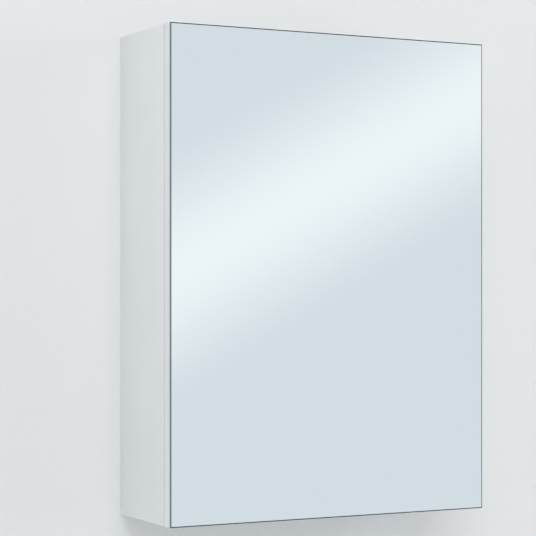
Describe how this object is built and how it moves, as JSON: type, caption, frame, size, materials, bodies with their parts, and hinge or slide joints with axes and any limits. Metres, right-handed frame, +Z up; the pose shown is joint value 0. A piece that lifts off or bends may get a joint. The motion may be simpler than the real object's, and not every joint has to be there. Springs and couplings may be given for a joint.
{
  "type": "mirror cabinet",
  "caption": "Wall-hung bathroom cabinet with a full-front mirror door on concealed hinges, glass shelves on pins and an adjustable hanging rail behind.",
  "frame": {"origin": "on the wall plane, midway between the wall rail's two screw holes", "axes": "+X to the right for a viewer who faces the mirror, +Y into the wall (the mirror faces -Y), +Z up"},
  "size_m": [0.4, 0.14, 0.543],
  "materials": {
    "mirror": "silvered float glass with a ground edge",
    "white_board": "chipboard faced and edged in satin white melamine",
    "back_board": "hardboard with a white printed face",
    "dowel_wood": "plain beech",
    "shelf_glass": "clear float glass with ground edges",
    "nickel": "nickel plated",
    "zinc": "die-cast zinc, unpolished",
    "steel": "bright drawn steel",
    "galvanised": "galvanised sheet and turned steel",
    "white_plastic": "moulded white plastic",
    "clear_plastic": "clear soft plastic"
  },
  "bodies": {
    "cabinet": {"side_panel_left": "white_board", "side_panel_right": "white_board", "top_panel": "white_board", "bottom_panel": "white_board", "back_panel": "back_board", "dowels": "dowel_wood", "cam_bolts": "steel", "cam_locks": "zinc", "cam_covers": "white_plastic", "shelf_lower": "shelf_glass", "shelf_upper": "shelf_glass", "shelf_pins": "nickel", "shelf_pin_sleeves": "clear_plastic", "wall_rail": "galvanised", "hanger_housing_left": "white_plastic", "hanger_housing_right": "white_plastic", "hanger_hook_left": "galvanised", "hanger_hook_right": "galvanised", "hanger_cover_left": "white_plastic", "hanger_cover_right": "white_plastic", "hanger_depth_screws": "galvanised", "hanger_height_screws": "galvanised", "upper_mounting_plate": "nickel", "upper_hinge_arm": "nickel", "upper_cover_cap": "nickel", "upper_hinge_spring": "steel", "lower_mounting_plate": "nickel", "lower_hinge_arm": "nickel", "lower_cover_cap": "nickel", "lower_hinge_spring": "steel", "hinge_arm_pins": "steel", "plate_screws": "nickel", "arm_fixing_screws": "nickel", "side_adjusting_screws": "nickel"},
    "door": {"mirror_glass": "mirror", "door_carrier": "white_board", "door_buffers": "clear_plastic", "upper_hinge_cup": "nickel", "lower_hinge_cup": "nickel", "hinge_cup_pins": "steel", "cup_screws": "nickel"},
    "upper_outer_link": {"upper_outer_link": "nickel"},
    "upper_inner_link": {"upper_inner_link": "nickel", "upper_inner_link_pins": "steel"},
    "lower_outer_link": {"lower_outer_link": "nickel"},
    "lower_inner_link": {"lower_inner_link": "nickel", "lower_inner_link_pins": "steel"}
  },
  "joints": [
    {"name": "upper_outer_link_pivot", "type": "hinge", "parent": "cabinet", "child": "upper_outer_link", "pos_m": [0.16634, -0.1157, -0.033], "axis": [0, 0, 1], "range_deg": [-38.48, 0]},
    {"name": "door_swing", "type": "hinge", "parent": "upper_outer_link", "child": "door", "pos_m": [0.18904, -0.12842, -0.033], "axis": [0, 0, 1], "range_deg": [0, 133.48]},
    {"name": "upper_inner_link_pivot", "type": "hinge", "parent": "cabinet", "child": "upper_inner_link", "pos_m": [0.164, -0.1314, -0.033], "axis": [0, 0, 1], "range_deg": [-61.49, 0]},
    {"name": "lower_outer_link_pivot", "type": "hinge", "parent": "cabinet", "child": "lower_outer_link", "pos_m": [0.16634, -0.1157, -0.386], "axis": [0, 0, 1], "range_deg": [-38.48, 0]},
    {"name": "lower_inner_link_pivot", "type": "hinge", "parent": "cabinet", "child": "lower_inner_link", "pos_m": [0.164, -0.1314, -0.386], "axis": [0, 0, 1], "range_deg": [-61.49, 0]}
  ],
  "couplings": [
    {"joint": "upper_outer_link_pivot", "follows": "door_swing", "ratio": -0.28828},
    {"joint": "upper_inner_link_pivot", "follows": "door_swing", "ratio": -0.46066},
    {"joint": "lower_outer_link_pivot", "follows": "door_swing", "ratio": -0.28828},
    {"joint": "lower_inner_link_pivot", "follows": "door_swing", "ratio": -0.46066}
  ]
}
